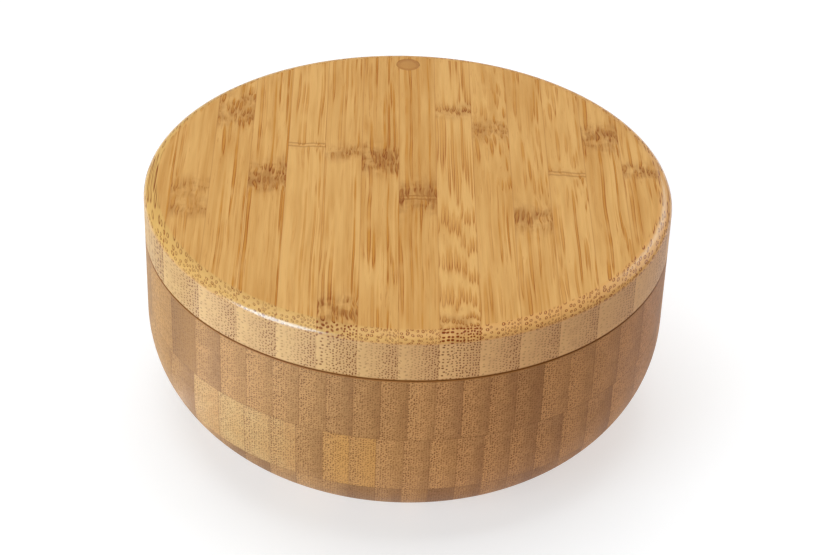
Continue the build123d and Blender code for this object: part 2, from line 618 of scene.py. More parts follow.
LID_STRIPS = {
    "lid_strip_01": StripLook(tone=-0.3, slope=(0.004, 0.004, 0), wander=0.3, dark=0.9),
    "lid_strip_02": StripLook(
        tone=-0.2,
        slope=(0.006, 0.006, 0),
        wander=0.4,
        dark=0.7,
        knuckles=((-5, 4, 0.5, 0.9, 0), (-14, 3, 0.5, 0.8, 0)),
    ),
    "lid_strip_03": StripLook(
        tone=0.03,
        slope=(0.014, 0.030, 20),
        wander=0.5,
        dark=1.2,
        knuckles=((29, 4, 0.55, 1.0, 0), (37, 4, 0.5, 0.7, 0)),
    ),
    "lid_strip_04": StripLook(
        tone=0.0,
        slope=(0.006, 0.006, 0),
        wander=0.4,
        dark=1.3,
        knuckles=((3, 4.5, 0.55, 1.6, 0), (-2, 3, 0.4, 1.2, 0)),
    ),
    "lid_strip_05": StripLook(
        tone=0.85, slope=(0.004, 0.006, 0), wander=0.4, dark=0.75, knuckles=((16, 2, 0.5, 0.1, 0.8),)
    ),
    "lid_strip_06": StripLook(
        tone=0.35,
        slope=(0.009, 0.006, 0),
        wander=0.5,
        dark=0.95,
        knuckles=((13, 3, 0.5, 1.0, 0), (-54, 5, 0.45, 1.6, 0)),
        full=0.8,
    ),
    "lid_strip_07": StripLook(
        tone=-0.05, slope=(0.022, 0.012, 0), wander=0.5, dark=1.25, knuckles=((10, 5, 0.65, 2.0, 0),)
    ),
    "lid_strip_08": StripLook(
        tone=-0.5, slope=(0.002, 0.002, 0), wander=0.2, dark=1.0, knuckles=((-7, 5.5, 0.5, 1.8, 1.0),)
    ),
    "lid_strip_09": StripLook(
        tone=1.0,
        slope=(0.064, 0.012, -8),
        wander=0.1,
        dark=1.0,
        knuckles=((34, 3, 0.5, 0.9, 0), (-58, 4, 0.8, 0.9, 0)),
        full=1.0,
        every=1.0,
        apart=0.95,
        stagger=0.04,
        loose=0.40,
        height=0.8,
        ruffle=0.6,
    ),
    "lid_strip_10": StripLook(
        tone=0.1, slope=(0.012, 0.075, -5), wander=0.5, dark=0.9, knuckles=((25, 4, 0.6, 0.9, 0),)
    ),
    "lid_strip_11": StripLook(
        tone=0.12, slope=(0.03, 0.03, 0), wander=0.6, dark=0.9, knuckles=((-15, 5, 0.5, 1.2, 0),)
    ),
    "lid_strip_12": StripLook(
        tone=0.55, slope=(0.03, 0.05, 10), wander=0.5, dark=0.85, knuckles=((5, 2, 0.6, 0.2, 0.8),)
    ),
    "lid_strip_13": StripLook(
        tone=0.25, slope=(0.010, 0.010, 0), wander=0.5, dark=1.15, knuckles=((22.5, 5, 0.65, 1.6, 0),)
    ),
    "lid_strip_14": StripLook(
        tone=0.2, slope=(0.012, 0.02, 0), wander=0.5, dark=0.95, knuckles=((7, 3, 0.6, 1.2, 0),)
    ),
    "lid_strip_15": StripLook(tone=0.1, slope=(0.01, 0.01, 0), wander=0.4, dark=0.85),
}


def pass_knuckles(place, knuckles, seed):
    """Leads a place through the knuckles of a strip, and gives how near one is, its smudges and lines."""
    # Nothing is near until there is a knuckle
    near = parts_of(place)[0] * 0.0
    smudges = []
    creases = []
    for count, (at, length, jump, brown, line) in enumerate(knuckles):
        inputs = {
            "Place": place,
            "Knuckle At": at,
            "Length": length,
            "Jump": jump,
            "Brown": brown,
            "Line": line,
            "Seed": seed + KNUCKLE_SEED_STEP * count,
        }
        knuckle = place_group(place.tree, "Bamboo knuckle", inputs)
        place = knuckle["Place"]
        near = larger(near, knuckle["Near"])
        smudges.append(knuckle["Smudge"])
        creases.append(knuckle["Crease"])
    return place, near, smudges, creases


def bend_grain(place, look, seed):
    """Where a point is among the bundles: they rise along the strip, wander, and crowd to its right."""
    wide, long, high = parts_of(place)
    front_slope, back_slope, bend_at = look.slope
    past_bend = long - bend_at
    behind = (calculate("SQRT", past_bend * past_bend + BEND_SOFTNESS**2) + past_bend) * 0.5
    rise = long * front_slope + high
    rise = behind * (back_slope - front_slope) + rise
    roll = swing(point(seed, long * 0.02, 0.0))
    rise = roll * (3.0 * look.wander) + rise
    ruffle = swing(point(wide * 0.35 + seed, long * 0.02, high * 0.05))
    rise = ruffle * look.ruffle + (rise + seed)
    sway = swing(point(seed, long * 0.03, 0.0))
    side = sway * 1.6 + (wide * wide * 0.03 + wide * 0.85)
    return point(side + seed * 3.0, long, rise)


def lid_material(name, left, width, settings):
    """Varnished bamboo of one lid strip, whose bundles crowd towards its right side."""
    material, tree, shader = new_material(name.replace("lid_strip", "Lid bamboo"))
    look = LID_STRIPS[name]
    full = look.full
    every = look.every
    dark = look.dark
    seed = LID_SEED_STEP * int(name[-2:])
    here = millimetres(tree)
    x, y, z = parts_of(here)
    across = x - left / MM
    share = across / (width / MM)
    radius = from_axis(x, y)

    # Zones: the wall below the rounded edge, the rounded edge, the top
    edge_start = (BOX_RADIUS - settings.edge_reach) / MM
    wall_end = (LID_HIGH.z - settings.edge_drop) / MM
    wall = ease(z, wall_end, wall_end + 0.55, 1.0, 0.0)
    hidden_back = ease(y, -10.0, 22.0, 0.0, 1.1)
    edge = ease(radius - hidden_back, edge_start - 0.5, edge_start + 0.3)

    # Grain: the height in it falls away faster over the rounded edge, and its bundles close at a knuckle
    depth = larger(radius - edge_start, 0.0) * -EDGE_SLANT + z
    place, near, smudges, creases = pass_knuckles(point(across, y, depth), look.knuckles, seed)
    bent = bend_grain(place, look, seed)
    closed = clamped(near * 0.6)
    thickness = closed * 0.14 + between(edge, 0.145, 0.30)

    def bundles(apart, apart_up, wall_loose, widths, wall_slimmer, heights, wall_thicker, closings):
        """Bundles of one size. Of a pair of numbers, the first is for the top and the second for the edge."""
        inputs = {
            "Place": bent,
            "Spacing Across": apart,
            "Spacing Up": apart_up,
            "Stagger": look.stagger,
            "Randomness": between(wall, look.loose, wall_loose),
            "Half Width": between(edge, *widths) - wall * wall_slimmer,
            "Half Height": between(edge, *heights) * between(wall, 1.0, 0.66),
            "Cap Width": thickness + wall * wall_thicker,
            "Closed": larger(between(edge, *closings), closed),
        }
        return place_group(tree, "Bamboo bundles", inputs)

    tall = look.height
    coarse = bundles(look.apart, 0.95, 0.5, (0.36, 0.27), 0.11, (0.31 * tall, 0.23), 0.2, (0.1, 0.55))
    fine = bundles(0.88, 0.70, 0.52, (0.27, 0.22), 0.09, (0.22 * tall, 0.18), 0.3, (0.2, 0.7))
    drift = swing(point(across * 0.5 + seed, y * 0.03, z * 0.4))
    crowded = ease(wall * 0.38 + (drift * 0.5 + share), 0.62, 0.70)
    caps, core, glow, far, pick, fade = (
        add_node(tree, "ShaderNodeMix", {0: crowded, 2: coarse[key], 3: fine[key]})
        for key in ("Caps", "Core", "Glow", "Far", "Pick", "Fade")
    )
    fibre = place_group(tree, "Bamboo fibre", {"Place": bent, "Seed": seed})

    # Ground of the top: honey, deeper tan in clouds, paler or darker with the strip's own tone
    cloud = clamped((fibre["Cloud"] - 0.5) * 2.2 + (0.40 - 0.35 * look.tone))
    ground = mix(cloud, settings.honey, settings.tan)
    ground = mix(edge * 0.75, ground, settings.edge_ground)
    low_edge = ease(z, wall_end + 0.2, wall_end + 1.1, 0.6, 0.0)
    ground = mix(low_edge, ground, settings.edge_glow)

    # On the top each bundle has its own strength and comes and goes along its length
    strength = ease(pick, 0.15 - every, 0.8 - 0.6 * every, 0.08, 1.15)
    strength = strength * ramp(fade, 0.3, 0.55, 0.25 + 0.6 * every, 1.1)
    strength = larger(strength * between(share, 0.75 * dark, 1.25 * dark), near)
    edge_strength = edge * between(pick, 0.85, 1.2) * ease(x, -30.0, 20.0, 0.95, 1.25)
    strength = larger(strength, edge_strength)

    # Cores glow golden through the ground, between pale and dark hairs, and knuckles leave it brown
    golden = clamped(glow * strength * between(edge, 0.75 - 0.25 * every, 0.12))
    ground = mix(golden, ground, settings.gold)
    ground = shaded(ground, ramp(fibre["Fine"], 0.25, 0.75, 0.93, 1.05))
    pale_hair = ease(fibre["Fine"], 0.30, 0.42, 0.30, 0.0)
    ground = mix(pale_hair, ground, settings.honey)
    dark_hair = ease(fibre["Fine"], 0.58, 0.70, 0.0, 0.30 * dark)
    ground = mix(dark_hair * between(edge, 1.0, 0.0), ground, settings.streak)
    for smudge in smudges:
        ground = mix(smudge * 0.85, ground, settings.smudge)

    # A bundle that is cut at a slant is dark at its near end only
    slant = larger(larger(ease(far, 0.3, 0.95, 1.0, 0.1), edge), closed)
    fill = larger(core * ease(far, 0.0, 0.6, 0.18, 0.0), core * edge * (0.9 * full))
    mark = clamped(caps * slant + fill)
    browner = larger(edge, clamped(closed * 1.6))
    sheath = mix(browner, settings.streak, settings.edge_ring)
    top = mix(clamped(mark * strength), ground, sheath)

    # Wall: greyer end grain, whose dots crowd and darken towards the right of the strip
    wall_cloud = clamped(share * 0.55 + cloud * 0.3)
    wall_ground = mix(wall_cloud, settings.rim_ground, settings.rim_shade)
    wall_strength = ease(share, 0.35, 1.0, 0.55 + 0.7 * full, 1.6)
    wall_mark = larger(caps, core * (0.7 + 0.3 * full)) * ease(x, 15.0, 50.0, 1.0, 0.6)
    wall_colour = mix(clamped(wall_mark * wall_strength), wall_ground, settings.rim_dot)
    colour = mix(wall, top, wall_colour)
    # Painted light: the wall and the rounded edge turn redder from the box's lit left to its shaded right
    colour = mix(larger(wall, edge), colour, painted_light_tint(x, 1.0), "MULTIPLY")

    # The line of a knuckle, painted shade along the seam at the lid's lower edge, and the glue line at each
    # side of the strip
    for crease in creases:
        colour = mix(crease * 0.6, colour, settings.smudge)
    lowest = LID_LOW.z / MM
    # Painted shade along the seam, near the lid's lower edge
    seam_shade = ease(z, lowest + 0.1, lowest + 0.5, 0.9, 0.0)
    colour = mix(seam_shade * painted_seam_reach(radius), colour, settings.seam_shade)
    to_side = smaller(across, width / MM - across)
    glue = ease(to_side, 0.0, GLUE_REACH, 0.3, 0.0) * between(wall, 1.0, 0.2)
    colour = mix(glue, colour, settings.streak)
    feed(shader.inputs["Base Color"], colour)
    varnish(shader, here, mark, 0.40, 0.2)
    add_coat(shader, between(wall, 1.0, 0.42))
    arrange(tree)
    return material


class BoardLook(NamedTuple):
    """How a board of the bowl looks. Its strips are counted from the middle."""

    seed: float
    # Where a joint between two strips is, in millimetres from the middle
    first_joint: float
    # The least and the most darkness that its strips draw
    palest: float
    darkest: float
    # Strips that stand out: how dark, from below 0 for pale to above 2, and how orange
    tones: dict = {}
    oranges: dict = {}


BASE_LOOK = BoardLook(3.0, -0.55, 0.1, 0.75, tones={-4: 0.0, -2: 1.4, 1: 2.2, 5: 1.2})
MIDDLE_LOOK = BoardLook(
    9.0,
    -0.5,
    0.05,
    0.3,
    tones={-9: 0.6, -8: -0.5, -7: -0.9, -6: -0.7, -5: -0.4},
    oranges={-3: 1.0, -2: 0.9},
)
TOP_LOOK = BoardLook(17.0, 0.2, 0.0, 0.35, tones={-10: 0.1, -9: 1.7, -2: 0.4, 4: 0.6})
BOWL_SEED_STEP = 7.31

# The small bundle ends in the bowl, in millimetres
BOWL_DOTS = {
    "Spacing Across": 0.57,
    "Spacing Up": 0.54,
    "Stagger": 0.5,
    "Randomness": 0.6,
    "Half Width": 0.135,
    "Half Height": 0.12,
    "Cap Width": 0.5,
    "Closed": 1.0,
}


def on_strips(value, index, amounts):
    """A number that has an amount of its own on the strips that stand out."""
    for strip, amount in amounts.items():
        chosen = calculate("COMPARE", index, float(strip), 0.5)
        value = chosen * (amount - value) + value
    return value


def bowl_material(name, bottom, top, look, settings):
    """Varnished bamboo of one bowl board, laid up from strips whose bundles crowd to their left."""
    material, tree, shader = new_material(name)
    here = millimetres(tree)
    x, y, z = parts_of(here)
    width = settings.strip_width / MM
    count = (x - look.first_joint) / width
    index = calculate("FLOOR", count)
    share = calculate("FRACT", count)
    across = share * width

    # Each strip draws its own tone, warmth and rise
    values = {"Vector": point(index, look.seed, 0.0)}
    dice = add_node(tree, "ShaderNodeTexWhiteNoise", values, noise_dimensions="2D")
    chances = add_node(tree, "ShaderNodeSeparateColor", {0: dice["Color"]})
    tone = between(chances[0], look.palest, look.darkest)
    tone = on_strips(tone, index, look.tones)
    warm = between(chances[1], 0.0, 0.3)
    warm = on_strips(warm, index, look.oranges)
    seed = index * BOWL_SEED_STEP
    drift = swing(point(across * 0.16 + seed, y * 0.035, z * 0.05), 2.0)
    rise = y * (chances[2] * 0.05) + (drift * 2.0 + z)
    bent = point(across + seed * 2.0, y, rise + seed)
    dots = place_group(tree, "Bamboo bundles", {"Place": bent} | BOWL_DOTS)
    fibre = place_group(tree, "Bamboo fibre", {"Place": bent, "Seed": seed})

    # Ground: tone of the strip, clouds, and a darker right side
    tone = (fibre["Cloud"] - 0.5) * 0.9 + tone * between(share, 0.65, 1.35)
    darker_side = ease(share, 0.3, 1.0) * 0.46
    darkness = clamped(tone + darker_side)
    paleness = clamped((tone + darker_side) * -1.0)
    ground = mix(darkness, settings.ground, settings.shade)
    ground = mix(paleness, ground, settings.pale)
    orange = warm * ease(share, 0.0, 0.8, 0.4, 0.85)
    ground = mix(orange, ground, settings.amber)

    # Dots, and specks that shade them
    mark = larger(dots["Caps"], dots["Core"]) * ease(share, 0.0, 0.8, 1.0, 0.65)
    mark = mark * ease(abs(x), 25.0, 55.0, 1.1, 0.65)
    mark = clamped(mark * ease(dots["Pick"], 0.0, 0.6, 0.4, 1.0))
    colour = mix(mark, ground, settings.dot)
    colour = shaded(colour, ramp(fibre["Speck"], 0.3, 0.7, 0.90, 1.10))
    # Painted light: redder from the box's lit left to its shaded right, with a painted bluish sheen at the
    # far right end
    colour = mix(1.0, colour, painted_light_tint(x, 1.16), "MULTIPLY")

    # Glue lines between strips and where this board meets its neighbours, and painted shade along the seam at
    # the rim
    to_side = smaller(across, width - across)
    glue = ease(to_side, 0.0, 0.25, 0.3, 0.0)
    colour = mix(glue, colour, settings.dot)
    to_board = smaller(z - bottom / MM, top / MM - z)
    board_glue = ease(to_board, 0.0, GLUE_REACH, 0.4, 0.0)
    colour = mix(board_glue, colour, settings.dot)
    # Painted shade along the seam, near the rim's top
    seam_shade = ease(z, RIM_TOP / MM - 0.35, RIM_TOP / MM, 0.0, 0.9)
    colour = mix(seam_shade * painted_seam_reach(from_axis(x, y)), colour, settings.seam_shade)
    feed(shader.inputs["Base Color"], colour)
    varnish(shader, here, mark, 0.5, 0.25)
    shader.inputs["Specular IOR Level"].default_value = 0.22
    arrange(tree)
    return material


def plug_material(settings):
    """Browner bamboo of the plug, with a faint ring where it is set in."""
    material, tree, shader = new_material("Plug bamboo")
    here = millimetres(tree)
    x, y, z = parts_of(here)
    off_y = y - SWIVEL_Y / MM
    radius = from_axis(x, off_y)
    fibre = place_group(tree, "Bamboo fibre", {"Place": point(off_y, x, z), "Seed": 4.0})
    colour = mix(ramp(fibre["Fine"], 0.3, 0.7), settings.plug_pale, settings.plug_deep)
    ragged = (fibre["Cloud"] - 0.5) * 1.2 + radius
    colour = mix(ease(ragged, 1.7, 2.6, 0.0, 0.65), colour, settings.plug_ring)
    colour = mix(ease(fibre["Speck"], 0.55, 0.7, 0.0, 0.5), colour, settings.plug_speck)
    colour = mix(ease(radius, 2.85, 2.98, 0.0, 0.5), colour, settings.plug_joint)
    feed(shader.inputs["Base Color"], colour)
    varnish(shader, here, fibre["Speck"], 0.42, 0.25)
    add_coat(shader, 1.0)
    arrange(tree)
    return material


def metal_material(name, colour, roughness):
    """Metal with fine turning marks and wiped patches."""
    material, tree, shader = new_material(name)
    x, y, z = parts_of(millimetres(tree))
    marks = noise(point(x * 0.6, y * 0.6, z * 14.0), 2.0, 0.6)
    patch = noise(point(x * 0.5, y * 0.5, z * 0.5), 3.0, 0.6)
    dull = [0.82 * part for part in colour]
    feed(shader.inputs["Base Color"], mix(ramp(patch, 0.3, 0.7), colour, dull))
    rough = (patch - 0.5) * 0.25 + roughness
    feed(shader.inputs["Roughness"], clamped((marks - 0.5) * 0.15 + rough))
    shader.inputs["Metallic"].default_value = 1.0
    relieve(shader, marks, 0.15, SOFT_RELIEF)
    arrange(tree)
    return material


def nylon_material(settings):
    """Milky nylon with a faint mottle."""
    material, tree, shader = new_material("Milky nylon")
    mottle = noise(millimetres(tree), 3.0)
    colour = mix(ramp(mottle, 0.3, 0.7), settings.nylon, settings.nylon_shade)
    feed(shader.inputs["Base Color"], colour)
    feed(shader.inputs["Roughness"], ramp(mottle, 0.3, 0.7, 0.34, 0.52))
    shader.inputs["IOR"].default_value = NYLON_IOR
    relieve(shader, mottle, 0.1, SOFT_RELIEF)
    arrange(tree)
    return material


# Pieces


def new_object(name, data):
    """An object in the scene that shows a mesh, a light or a camera."""
    thing = bpy.data.objects.new(name, data)
    bpy.context.scene.collection.objects.link(thing)
    return thing


def object_from(mesh, name):
    """An object in the scene from a bmesh, which is freed."""
    data = bpy.data.meshes.new(name)
    mesh.to_mesh(data)
    mesh.free()
    return new_object(name, data)


def plain_mesh(thing):
    """The mesh of an object, with its modifiers applied."""
    depsgraph = bpy.context.evaluated_depsgraph_get()
    return bpy.data.meshes.new_from_object(thing.evaluated_get(depsgraph))


def finish_piece(piece, material, body, node):
    """Paints a piece, hides the CAD node that it stands for, and makes it move with its body."""
    if material:
        piece.data.materials.clear()
        piece.data.materials.append(material)
    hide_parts(node)
    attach(piece, body)


# Lid strips, grown by Geometry Nodes

STRIP_SIZES = [
    "Left",
    "Right",
    "Lid Radius",
    "Underside",
    "Top",
    "Edge Reach",
    "Edge Drop",
    "Underside Break",
    "Swivel Distance",
    "Plug Radius",
    "Plug Seat",
    "Bore Radius",
    "Magnet Radius",
    "Magnet Depth",
    "Catch Distance",
]
STRIP_COUNTS = ["Columns", "Edge Steps"]
EDGE_STEPS = 10
COLUMN_TURN = math.radians(1.0)
FEWEST_COLUMNS = 6
BORE_SEGMENTS = 48
HOLE_SEGMENTS = 64
SAWN_EDGE = 28
WELD_DISTANCE = 0.002 * MM
EDGE_TOLERANCE = 0.01 * MM
CUT_OVERRUN = 1.0 * MM


def lid_strip_tree():
    """One strip of the turned lid: rows follow the lid's outline, columns go across the strip."""
    tree = bpy.data.node_groups.new("Lid strip", "GeometryNodeTree")
    tree.is_modifier = True
    for name in STRIP_SIZES:
        tree.interface.new_socket(name, in_out="INPUT", socket_type="NodeSocketFloat")
    for name in STRIP_COUNTS:
        tree.interface.new_socket(name, in_out="INPUT", socket_type="NodeSocketInt")
    tree.interface.new_socket("Bamboo", in_out="INPUT", socket_type="NodeSocketMaterial")
    tree.interface.new_socket("Strip", in_out="OUTPUT", socket_type="NodeSocketGeometry")
    given = Wire(tree.nodes.new("NodeGroupInput").outputs[0])
    leave = tree.nodes.new("NodeGroupOutput")
    lid_radius = given["Lid Radius"]
    underside = given["Underside"]
    lid_top = given["Top"]
    edge_reach = given["Edge Reach"]
    edge_steps = given["Edge Steps"]

    # Half outline of the lid, from the axis round its lower and upper edges
    corners = {
        "Point 1": point(0.0, 0.0, underside),
        "Point 2": point(lid_radius, 0.0, underside),
        "Point 3": point(lid_radius, 0.0, lid_top),
        "Point 4": point(0.0, 0.0, lid_top),
    }
    index = add_node(tree, "GeometryNodeInputIndex")
    lower = calculate("COMPARE", index, 1.0, 0.1)
    upper = calculate("COMPARE", index, 2.0, 0.1)
    rounding = {
        "Curve": add_node(tree, "GeometryNodeCurvePrimitiveQuadrilateral", corners, mode="POINTS"),
        "Count": upper * (edge_steps - 1.0) + 1.0,
        "Radius": upper * edge_reach + lower * given["Underside Break"],
    }
    outline = add_node(tree, "GeometryNodeFilletCurve", rounding, mode="POLY")

    # Rows: up the front of the outline and down its back
    half = edge_steps + 3.0
    rows = half * 2.0

    def outline_point(row):
        """Radius and height of the outline at a row, and 1 for a row at the back."""
        wrapped = calculate("MODULO", row, rows)
        back = calculate("GREATER_THAN", wrapped, half - 0.5)
        step = back * (rows - 1.0 - wrapped - wrapped) + wrapped
        position = add_node(tree, "GeometryNodeInputPosition")
        values = {"Geometry": outline, "Value": position, "Index": step + 1.0}
        options = {"data_type": "FLOAT_VECTOR", "domain": "POINT"}
        radius, _, height = parts_of(add_node(tree, "GeometryNodeSampleIndex", values, **options))
        return radius, height, back

    def strip_point(row, turn):
        """Where a point of the strip is, from its row and its turn round the lid."""
        x = calculate("SINE", turn) * lid_radius
        radius, height, back = outline_point(row)
        from_top = lid_top - height
        on_edge = calculate("LESS_THAN", from_top, edge_reach + EDGE_TOLERANCE)
        squeeze = 1.0 - given["Edge Drop"] / edge_reach
        height = height + from_top * squeeze * on_edge

        # The ceiling of the rounded edge and the broken lower edge hold wherever the strip is cut
        reach = larger(radius, abs(x))
        on_way = larger((reach - (lid_radius - edge_reach)) / edge_reach, 0.0)
        dip = 1.0 - calculate("SQRT", larger(1.0 - on_way**2.0, 0.0))
        ceiling = lid_top - dip * given["Edge Drop"]
        broken = larger(reach - (lid_radius - given["Underside Break"]), 0.0)
        height = larger(smaller(height, ceiling), underside + broken)
        depth = calculate("SQRT", larger(reach**2.0 - x**2.0, 0.0))
        return point(x, depth * (back * 2.0 - 1.0), height)

    def shaped(mesh, row, turn):
        """A mesh whose points are moved onto the strip."""
        values = {"Geometry": mesh, "Position": strip_point(row, turn)}
        return add_node(tree, "GeometryNodeSetPosition", values)

    def joined(*meshes):
        """Some meshes as one."""
        node = tree.nodes.new("GeometryNodeJoinGeometry")
        for mesh in meshes:
            feed(node.inputs[0], mesh)
        return Wire(node.outputs[0])

    # Skin round the strip, and the sawn faces at both sides
    left_turn = calculate("ARCSINE", given["Left"] / lid_radius)
    right_turn = calculate("ARCSINE", given["Right"] / lid_radius)
    counts = {"Size X": 1.0, "Size Y": 1.0, "Vertices X": given["Columns"] + 1.0, "Vertices Y": rows + 1.0}
    grid = add_node(tree, "GeometryNodeMeshGrid", counts)
    grid_x, grid_y, _ = parts_of(add_node(tree, "GeometryNodeInputPosition"))
    turn = (grid_x + 0.5) * (right_turn - left_turn) + left_turn
    skin = shaped(grid, calculate("ROUND", (grid_y + 0.5) * rows), turn)
    sides = []
    for end_turn in (left_turn, right_turn):
        face = add_node(tree, "GeometryNodeMeshCircle", {"Vertices": rows}, fill_type="NGON")
        sides.append(shaped(face, add_node(tree, "GeometryNodeInputIndex"), end_turn))
    left_side = add_node(tree, "GeometryNodeFlipFaces", {0: sides[0]})
    shell = {"Geometry": joined(skin, left_side, sides[1]), "Distance": WELD_DISTANCE}
    closed = add_node(tree, "GeometryNodeMergeByDistance", shell)

    # Hole for the plug, bore for the screw's shoulder and pocket for the magnet
    def cutter(radius, low, high, distance, vertices=HOLE_SEGMENTS):
        """An upright cylinder on the centre line, that much in front of or behind the axis."""
        sizes = {"Vertices": vertices, "Radius": radius, "Depth": high - low}
        post = add_node(tree, "GeometryNodeMeshCylinder", sizes)
        place = {"Geometry": post, "Translation": point(0.0, distance, (high + low) * 0.5)}
        return add_node(tree, "GeometryNodeTransform", place)

    def cut(mesh, cutters):
        """A mesh with cutters taken out of it."""
        meshes = {"Mesh 1": mesh, "Mesh 2": cutters}
        return add_node(tree, "GeometryNodeMeshBoolean", meshes, operation="DIFFERENCE", solver="EXACT")

    above = lid_top + CUT_OVERRUN
    below = underside - CUT_OVERRUN
    pocket = cutter(given["Magnet Radius"], below, underside + given["Magnet Depth"], given["Catch Distance"])
    hole = cutter(given["Plug Radius"], given["Plug Seat"], above, given["Swivel Distance"])
    bore_top = given["Plug Seat"] + CUT_OVERRUN
    bore = cutter(given["Bore Radius"], below, bore_top, given["Swivel Distance"], BORE_SEGMENTS)
    mesh = cut(cut(closed, joined(pocket, hole)), bore)

    # Smooth where the surface turns gently, sharp at the sawn edges
    angles = {0: add_node(tree, "GeometryNodeInputMeshEdgeAngle"), 1: math.radians(SAWN_EDGE)}
    gentle = add_node(tree, "FunctionNodeCompare", angles, data_type="FLOAT", operation="LESS_THAN")
    edges = {"Geometry": mesh, "Shade Smooth": gentle}
    mesh = add_node(tree, "GeometryNodeSetShadeSmooth", edges, domain="EDGE")
    mesh = add_node(tree, "GeometryNodeSetShadeSmooth", {"Geometry": mesh}, domain="FACE")
    mesh = add_node(tree, "GeometryNodeRealizeInstances", {0: mesh})
    mesh = add_node(tree, "GeometryNodeSetMaterial", {"Geometry": mesh, "Material": given["Bamboo"]})
    feed(leave.inputs["Strip"], mesh)
    arrange(tree)
    return tree


def grown_mesh(name, tree, values):
    """The plain mesh object that a geometry tree makes from its named inputs."""
    grower = new_object(name + "_grower", bpy.data.meshes.new(name))
    modifier = grower.modifiers.new("Grow", "NODES")
    modifier.node_group = tree
    identifiers = {item.name: item.identifier for item in tree.interface.items_tree if item.in_out == "INPUT"}
    for key, value in values.items():
        modifier[identifiers[key]] = value
    mesh = plain_mesh(grower)
    mesh.name = name
    bpy.data.objects.remove(grower)
    return new_object(name, mesh)


class SALTBOX_OT_lid_strips(bpy.types.Operator):
    """Grow the fifteen strips of the turned lid"""

    bl_idname = "saltbox.lid_strips"
    bl_label = "Lid Strips"

    def execute(self, context):
        settings = context.scene.saltbox_lid
        hardware = context.scene.saltbox_hardware
        tree = lid_strip_tree()
        sizes = {
            "Lid Radius": BOX_RADIUS,
            "Underside": LID_LOW.z,
            "Top": LID_HIGH.z,
            "Edge Reach": settings.edge_reach,
            "Edge Drop": settings.edge_drop,
            "Underside Break": settings.underside_break,
            "Swivel Distance": SWIVEL_Y,
            "Plug Radius": PLUG_RADIUS + settings.hole_room,
            "Plug Seat": SCREW_HIGH.z - hardware.head_height - settings.head_room,
            "Bore Radius": hardware.shoulder_radius + hardware.running_play,
            "Magnet Radius": MAGNET_RADIUS + settings.hole_room,
            "Magnet Depth": LID_MAGNET_HIGH.z - LID_LOW.z,
            "Catch Distance": CATCH_Y,
            "Edge Steps": EDGE_STEPS,
        }
        for name in LID_STRIP_NAMES:
            low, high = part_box(name)
            turn = math.asin(min(1.0, high.x / BOX_RADIUS)) - math.asin(max(-1.0, low.x / BOX_RADIUS))
            bamboo = lid_material(name, low.x, high.x - low.x, settings)
            columns = max(FEWEST_COLUMNS, round(turn / COLUMN_TURN))
            own = {"Left": low.x, "Right": high.x, "Columns": columns, "Bamboo": bamboo}
            piece = grown_mesh(name.replace("lid_strip", "lid_bamboo"), tree, sizes | own)
            finish_piece(piece, None, "lid", name)
        return {"FINISHED"}


# Turned pieces

PLUG_SEGMENTS = 72
DISC_SEGMENTS = 96
BOWL_SEGMENTS = 240
SCREW_HOLE_SEGMENTS = 32
PLUG_EDGE = 40
BOWL_EDGE = 28
HARDWARE_EDGE = 35


def arc(centre_x, centre_z, radius, start, end, steps):
    """Points of an arc, from one angle to another in degrees."""
    angles = [math.radians(start + (end - start) * step / steps) for step in range(steps + 1)]
    return [(centre_x + radius * math.cos(angle), centre_z + radius * math.sin(angle)) for angle in angles]


def around_axis(radii, z):
    """Points around an upright axis at one height, from their distances to it."""
    turns = [math.tau * step / len(radii) for step in range(len(radii))]
    return [(radius * math.cos(turn), radius * math.sin(turn), z) for radius, turn in zip(radii, turns)]


def add_ring(mesh, points, centre_y):
    """Adds points around an upright axis to a bmesh, as its vertices."""
    return [mesh.verts.new((x, y + centre_y, z)) for x, y, z in points]


def add_band(mesh, lower, upper):
    """Adds the faces between two rings of vertices. A ring of one vertex is a pole."""
    count = max(len(lower), len(upper))
    for step in range(count):
        after = (step + 1) % count
        if len(lower) == 1:
            mesh.faces.new((lower[0], upper[after], upper[step]))
        elif len(upper) == 1:
            mesh.faces.new((lower[step], lower[after], upper[0]))
        else:
            mesh.faces.new((lower[step], lower[after], upper[after], upper[step]))


def turned_piece(name, outline, segments, centre_y=0.0):
    """A closed piece from a half outline of (x, z) points, turned about an upright axis."""
    mesh = bmesh.new()
    rings = [add_ring(mesh, around_axis([x] * (segments if x > 0 else 1), z), centre_y) for x, z in outline]
    for lower, upper in zip(rings, rings[1:] + rings[:1]):
        if len(lower) > 1 or len(upper) > 1:
            add_band(mesh, lower, upper)
    bmesh.ops.recalc_face_normals(mesh, faces=mesh.faces)
    return object_from(mesh, name)


def shade_by_angle(piece, degrees):
    """Smooth shading that keeps edges sharper than an angle."""
    mesh = bmesh.new()
    mesh.from_mesh(piece.data)
    for face in mesh.faces:
        face.smooth = True
    for edge in mesh.edges:
        if len(edge.link_faces) == 2:
            edge.smooth = edge.calc_face_angle(0.0) < math.radians(degrees)
    mesh.to_mesh(piece.data)
    mesh.free()


def drill(piece, radius, low, high, y, vertices=HOLE_SEGMENTS):
    """Cuts an upright round hole or pocket out of a piece."""
    bit = bmesh.new()
    sizes = {"radius1": radius, "radius2": radius, "depth": high - low}
    bmesh.ops.create_cone(bit, cap_ends=True, segments=vertices, **sizes)
    bmesh.ops.translate(bit, verts=bit.verts, vec=(0.0, y, (low + high) / 2))
    cutter = object_from(bit, "drill")
    cut = piece.modifiers.new("Cut", "BOOLEAN")
    cut.operation = "DIFFERENCE"
    cut.solver = "EXACT"
    cut.object = cutter
    mesh = plain_mesh(piece)
    piece.modifiers.clear()
    leftovers = [piece.data, cutter.data]
    piece.data = mesh
    bpy.data.objects.remove(cutter)
    for data in leftovers:
        bpy.data.meshes.remove(data)


